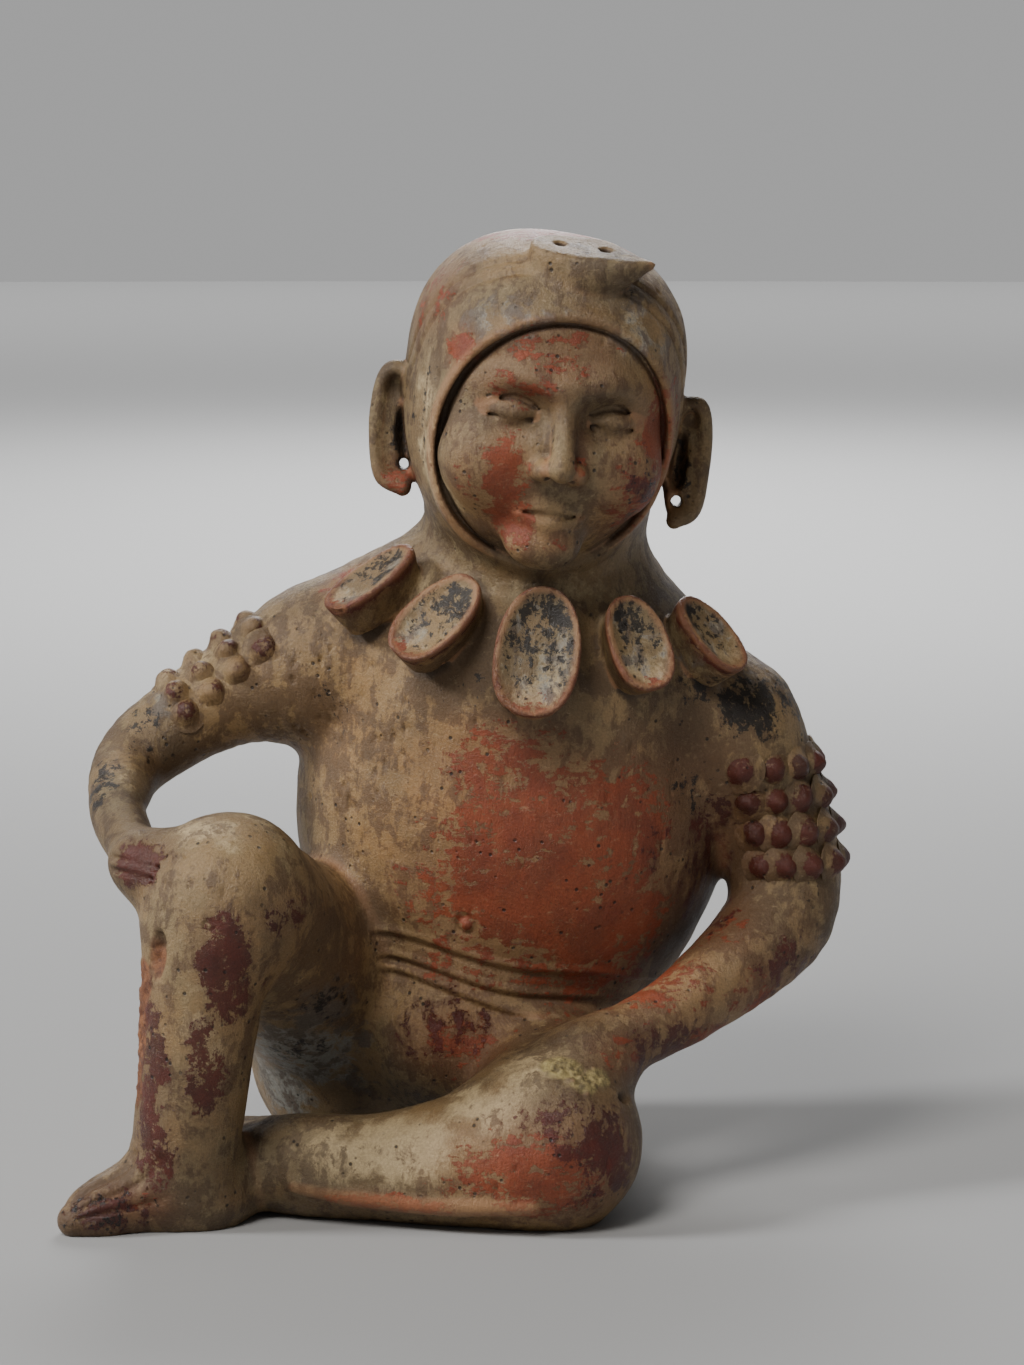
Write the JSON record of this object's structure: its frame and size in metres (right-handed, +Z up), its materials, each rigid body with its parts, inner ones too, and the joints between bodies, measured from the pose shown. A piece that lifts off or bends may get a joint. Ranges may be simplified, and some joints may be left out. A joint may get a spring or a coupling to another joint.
{
  "type": "seated hunchback figure, Colima style",
  "caption": "Seated hunchback figure in red-slipped earthenware, one knee raised, with a close cap, snout ornament and shell necklace.",
  "frame": {"origin": "on the ground, under the middle of the figure's outer box", "axes": "+Z up, the figure faces -Y, its own right side is at -X"},
  "size_m": [0.2918, 0.2286, 0.3573],
  "materials": {
    "earthenware": "burnished buff clay with worn red slip, soot and manganese blooms"
  },
  "bodies": {
    "root": {"figure": "earthenware"}
  },
  "joints": []
}
